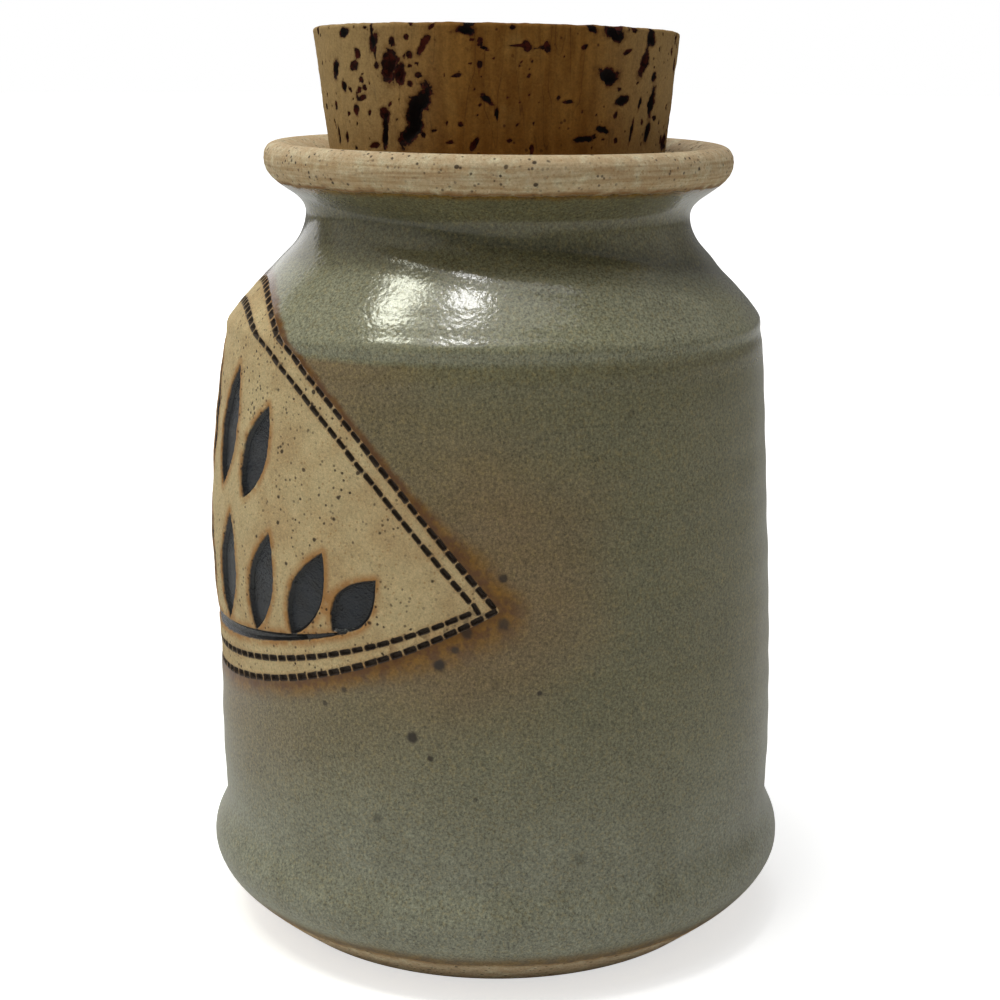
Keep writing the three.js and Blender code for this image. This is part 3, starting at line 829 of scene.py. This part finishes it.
def stoneware():
    f = Finish("stoneware")
    bare_edge, inlay, stitch = f.value("bare_clay"), f.value("sunk_leaf"), f.value("stitch_mark")
    wobble = f.noise(5, 3, 0.6) - 0.5
    ragged = f.noise(1.4, 3, 0.65) - 0.5
    fine = f.noise(0.55, 3, 0.65)
    finer = f.noise(0.28, 2, 0.6)
    cloudy = f.noise(38, 2, 0.5)
    drift = f.noise(14, 3, 0.55)
    blotch = f.noise(2.6, 3, 0.6)

    # where the clay is bare: label, lip and foot
    label = (bare_edge + ragged * 0.3).ramp(-0.12, 0.12)
    lip_line = f.height + wobble * 1.6 + ragged * 0.5
    foot_line = f.height + wobble * 1.8 + ragged * 0.5
    lip = lip_line.ramp(151.3, 151.7)
    foot = foot_line.ramp(7.2, 6.8)
    bare = label.at_least(lip).at_least(foot)

    # iron that bleeds into the glaze beside the bare clay
    near_corner = away_from(f, wall_point(78, 77)).ramp(34, 2)
    outside = (bare_edge + ragged * 1.6 + wobble * 1.2) * -1
    below = f.height.ramp(84, 62)
    reach = 1.2 + near_corner * 3.4 + below * 1.9
    smear = (outside / reach).ramp(1.5, 0.2) * (drift * 1.6 + near_corner + 0.15).at_most(1)
    edge_line = (outside + ragged * 0.8).ramp(1.9, 0.4) * (blotch * 1.6 + 0.1).at_most(1)
    lip_halo = lip_line.ramp(150.2, 151.3) * 0.7
    foot_halo = foot_line.ramp(10.5, 7.4) * 0.65

    # glaze
    warmth = ((bare_edge + 46) / 46).ramp(0.1, 1.0) * 0.7 + near_corner * 0.35 + (cloudy - 0.5) * 1.2
    shoulder = (f.height + wobble * 0.8).ramp(120.9, 122.8)
    warmth = warmth - shoulder * 0.65 - f.height.ramp(40, 12) * 0.35
    body = f.mix(colour(118, 114, 85), colour(126, 106, 72), warmth.ramp(0, 1))
    body = f.mix(body, colour(137, 136, 110), shoulder * f.height.ramp(139, 135))
    # Painted shade: the neck is darkened under the lip, most from 147 mm up.
    body = f.mix(body, colour(98, 93, 66), f.height.ramp(142, 147) * 0.4)
    # Darker along the finger mark: partly glaze pooled in the groove, partly painted shade in it.
    body = f.mix(body, colour(86, 84, 60), f.value("finger_mark") * 0.85)
    # Painted light: the lower body is made lighter towards the foot, standing in for light bounced up from
    # the floor.
    body = f.mix(body, colour(137, 137, 117), (f.height.ramp(62, 10) * (drift + 0.15) * 1.6).at_most(1))
    body = f.mix(body, colour(146, 128, 78), f.noise(0.8, 2, 0.6).ramp(0.5, 0.66) * 0.3)
    mottle = (fine - 0.5) * 2.3 + (finer - 0.5) * 1.4
    body = f.lit(body, mottle + (drift - 0.5) * 0.3 + (blotch - 0.5) * 0.25 + 1)
    iron = smear.at_least(lip_halo).at_least(foot_halo)
    rust = f.mix(colour(136, 93, 0), colour(100, 60, 0), blotch.ramp(0.42, 0.6))
    glaze = f.mix(body, f.lit(rust, (fine - 0.5) * 1.2 + 1), iron * 0.94)
    glaze = f.mix(glaze, colour(94, 55, 0), edge_line * 0.8)
    spots = specks(f, 9, 0.1, 0.09) * 0.6
    for bearing, height, radius, strength in IRON_SPOTS:
        away = away_from(f, wall_point(bearing, height)) + ragged * 0.7
        spots = spots.at_least(away.ramp(radius * 1.5, radius * 0.6) * strength)
    glaze = f.mix(glaze, colour(36, 24, 8), spots * 0.94)

    # bare clay
    sand = f.noise(3.4, 4, 0.65)
    turning = f.noise(1, 3, 0.6, place=f.stretched(0.07, 0.07, 1.5))
    lip_part = f.height.ramp(150, 152)
    clay = f.mix(colour(203, 182, 136), colour(190, 163, 117), f.noise(9, 3, 0.6).ramp(0.35, 0.7))
    lip_clay = f.mix(colour(191, 175, 137), colour(221, 211, 175), turning.ramp(0.35, 0.62))
    clay = f.mix(clay, lip_clay, lip_part)
    # Paler towards the lip's top: partly paler clay, partly painted light from above. The foot ring is
    # painted lighter against the shade where it meets the floor.
    clay = f.mix(clay, colour(226, 215, 182), (f.height.ramp(156, 158.5) * 0.8).at_least(f.height.ramp(8, 6)))
    clay = f.lit(clay, (fine - 0.5) * 0.8 + (finer - 0.5) * 0.6 + (sand - 0.5) * 0.35 + 1)
    edge_stain = inlay.ramp(-1.7, -0.05) * 0.85 + bare_edge.ramp(1.5, 0.0) * 0.5
    edge_stain = (edge_stain + stitch.ramp(-0.7, 0.0) * 0.35) * (blotch * 2.2 - 0.35).ramp(0, 1)
    clay = f.mix(clay, colour(168, 108, 36), edge_stain * 0.9)
    lip_iron = lip_line.ramp(152.6, 151.7) * lip * 0.85
    foot_iron = foot_line.ramp(5.8, 6.9) * foot * 0.5
    clay = f.mix(clay, colour(128, 84, 28), lip_iron.at_least(foot_iron) * (blotch * 2.2 - 0.2).ramp(0, 1))
    crowded = f.noise(13, 2, 0.5).ramp(0.38, 0.6) * 0.7 + 0.3
    clay_specks = (specks(f, 1.05, 0.6, 0.34) * crowded).at_least(specks(f, 2.6, 0.45, 0.2))
    clay = f.mix(clay, colour(158, 112, 52), specks(f, 0.8, 0.5, 0.34) * 0.45)
    clay = f.mix(clay, colour(52, 35, 18), clay_specks * 0.9)

    # glossy dark glaze that fills the ornament
    pooled = inlay.ramp(0.3, 1.3) * f.noise(3.2, 3, 0.6).ramp(0.25, 0.6)
    dark = f.mix(colour(8, 6, 5), colour(20, 27, 36), pooled)
    filled = (inlay + ragged * 0.35).ramp(-0.02, 0.28)
    pressed = (stitch + ragged * 0.25).ramp(-0.2, 0.0)
    surface = f.mix(glaze, clay, bare)
    surface = f.mix(surface, dark, filled)
    surface = f.mix(surface, colour(34, 21, 12), pressed * 0.95)

    peel = f.noise(0.95, 1, 0.4)
    gloss = 0.36 - f.height.ramp(112, 125) * 0.2 + (drift - 0.5) * 0.08 + (fine - 0.5) * 0.06
    rough = f.blend(gloss, 0.84, bare)
    rough = f.blend(rough, 0.24, filled)
    rough = f.blend(rough, 0.62, pressed)
    glaze_relief = peel * 0.055 + fine * 0.014
    clay_relief = fine * 0.16 + finer * 0.1 + sand * 0.22 + turning * lip_part * 0.14 - clay_specks * 0.1
    f.set(base_color=surface, roughness=rough, normal=f.bump(f.blend(glaze_relief, clay_relief, bare)))
    return f.material


def natural_cork():
    f = Finish("natural_cork")
    pore, black = f.value("pore"), f.value("black_pore")
    grain = f.noise(0.45, 4, 0.7)
    cloudy = f.noise(9, 3, 0.55)
    growth = f.noise(2.6, 3, 0.6, place=f.stretched(1, 1, 0.1))
    chipped = f.noise(0.8, 3, 0.8) - 0.5
    jagged = (f.noise(2.2, 3, 0.7) - 0.5) * 0.6 + chipped * 0.6
    hole = (pore + jagged).ramp(-0.1, 0.02)
    deep = (black + jagged).ramp(0.06, 0.2)
    # Paler on two sides: partly greyer, aged skin, partly painted light and sheen where the sides are seen
    # edge-on.
    aged_and_lit_sides = towards(f, -5).ramp(10, 34).at_least(towards(f, 165).ramp(16, 34) * 0.7)
    skin = f.mix(colour(139, 98, 44), colour(115, 75, 28), growth.ramp(0.3, 0.7))
    skin = f.mix(skin, colour(148, 114, 62), cloudy.ramp(0.52, 0.75) * 0.5)
    line_noise = f.noise(3.1, 1, 0.5, place=f.stretched(1, 1, 0.05))
    lines = (line_noise - 0.5).size().ramp(0.012, 0.0)
    skin = f.mix(skin, colour(66, 40, 18), lines * growth.ramp(0.4, 0.6) * 0.55)
    # Painted light and sheen, with some greying by age, on the cork's two sides.
    skin = f.mix(skin, colour(172, 145, 98), aged_and_lit_sides * 0.85)
    skin = f.lit(skin, (grain - 0.5) * 1.1 + (f.noise(1.5, 3, 0.6) - 0.5) * 0.5 + 1)
    small = specks(f, 1.7, 0.25, 0.22)
    reddish = f.mix(colour(70, 24, 13), colour(32, 14, 9), f.noise(1.6, 3, 0.6).ramp(0.38, 0.6))
    surface = f.mix(skin, colour(60, 32, 16), small * 0.75)
    rim = (pore + jagged).ramp(-0.55, -0.05)
    surface = f.mix(surface, colour(84, 44, 14), rim * 0.5)
    surface = f.mix(surface, reddish, hole)
    surface = f.mix(surface, colour(15, 12, 10), deep * 0.95)
    relief = grain * 0.12 - hole * 0.3 - lines * 0.06 + chipped * 0.06
    f.set(base_color=surface, roughness=0.86 + (grain - 0.5) * 0.1, normal=f.bump(relief))
    f.set(specular_ior_level=0.12)
    return f.material


def floor_finish():
    """A pale table, made white by a glow that only the camera sees, so it lights the jar as a table does."""
    f = Finish("pale_floor")
    tone = f.noise(60, 3, 0.5) - 0.5
    f.set(base_color=f.lit((0.84, 0.84, 0.83, 1), tone * 0.02 + 1), roughness=0.7 + tone * 0.1)
    seen = f.node("LightPath", output="Is Camera Ray")
    far = f.vector("LENGTH", f.place, {}, "Value").ramp(100, 1200)
    glow = f.node("Emission", sockets={"Color": (1, 1, 1, 1), "Strength": seen * (0.62 + far * 0.4)})
    whole = f.node("AddShader", sockets=[Wire(f, f.shader.outputs[0]), glow])
    f.feed(f.tree.nodes["Material Output"].inputs["Surface"], whole)
    return f.material


def make_floor():
    """A wide disc of rings, with their radii in metres."""
    radii, sides = (0.02, 0.3, 0.8, 1.6, 3, 6, 12), 64
    angles = [2 * math.pi * i / sides for i in range(sides)]
    points = [(0, 0, 0), *((r * math.cos(a), r * math.sin(a), 0) for r in radii for a in angles)]
    starts = [1 + row * sides for row in range(len(radii))]
    mesh = bpy.data.meshes.new("floor")
    mesh.from_pydata(points, [], cap(starts[0], 0, sides) + bands(starts[::-1], sides))
    floor = bpy.data.objects.new("floor", mesh)
    mesh.materials.append(floor_finish())
    bpy.context.collection.objects.link(floor)


# Camera fitted to the photograph: its bearing round the jar, level distance from the axis, height and tilt
CAMERA_BEARING, CAMERA_AWAY, CAMERA_HEIGHT = 78, 389.4, 174.1
CAMERA_DOWN, CAMERA_ROLL, CAMERA_LENS, CAMERA_SHIFT = 12.85, 0.234, 68.4, 0.0029


def make_camera():
    data = bpy.data.cameras.new("camera")
    data.lens, data.sensor_width, data.shift_x = CAMERA_LENS, 36, CAMERA_SHIFT
    data.clip_start, data.clip_end = 0.01, 50
    camera = bpy.data.objects.new("camera", data)
    turn = Matrix.Rotation(math.radians(CAMERA_BEARING), 4, "Z")
    tilt = Matrix.Rotation(math.radians(90 - CAMERA_DOWN), 4, "X")
    roll = Matrix.Rotation(math.radians(CAMERA_ROLL), 4, "Z")
    place = Vector(heading(CAMERA_BEARING) * CAMERA_AWAY + (0, 0, CAMERA_HEIGHT)) * MM
    camera.matrix_world = Matrix.Translation(place) @ turn @ tilt @ roll
    bpy.context.collection.objects.link(camera)
    bpy.context.scene.camera = camera


# Lamps: bearing, angle above the level, distance, width and height in metres, watts, outline and tint
WHITE, GREENISH = (1, 1, 1), (0.97, 1, 0.84)
LAMPS = {
    "left_ceiling_panel": (-5, 63.5, 1.5, 0.29, 0.34, 4.6, "ELLIPSE", GREENISH),
    "near_ceiling_panel": (39, 76.3, 1.5, 0.26, 0.27, 4.3, "ELLIPSE", WHITE),
    "overhead_softbox": (20, 84, 1.7, 1.4, 1.4, 9.6, "RECTANGLE", WHITE),
    "window": (0, 30, 2, 2.6, 2.2, 5.4, "RECTANGLE", WHITE),
    "left_wall": (-75, 18, 2, 1.6, 1.2, 6.5, "RECTANGLE", WHITE),
    "right_wall": (172, 30, 2, 2.2, 2, 2.2, "RECTANGLE", WHITE),
}
AIM = Vector((0, 0, 0.12))


def make_lamps():
    for name, (bearing, above, away, width, tall, power, outline, tint) in LAMPS.items():
        data = bpy.data.lights.new(name, "AREA")
        data.shape, data.size, data.size_y, data.energy, data.color = outline, width, tall, power, tint
        lamp = bpy.data.objects.new(name, data)
        rise = math.radians(above)
        way = Vector(heading(bearing) * math.cos(rise) + (0, 0, math.sin(rise)))
        lamp.location = AIM + way * away
        lamp.rotation_mode = "QUATERNION"
        lamp.rotation_quaternion = way.to_track_quat("Z", "Y")
        bpy.context.collection.objects.link(lamp)


def make_world():
    world = bpy.data.worlds.new("studio")
    world.use_nodes = True
    nodes, links = world.node_tree.nodes, world.node_tree.links
    background = nodes["Background"]
    background.inputs["Color"].default_value = (1, 1, 1, 1)
    path = nodes.new("ShaderNodeLightPath")
    strength = nodes.new("ShaderNodeMapRange")
    strength.inputs["To Min"].default_value = 0.18
    strength.inputs["To Max"].default_value = 1.0
    links.new(path.outputs["Is Camera Ray"], strength.inputs["Value"])
    links.new(strength.outputs["Result"], background.inputs["Strength"])
    bpy.context.scene.world = world
    bpy.context.scene.view_settings.view_transform = "Standard"


make_camera()
make_jar().data.materials.append(stoneware())
make_cork().data.materials.append(natural_cork())
make_floor()
make_lamps()
make_world()
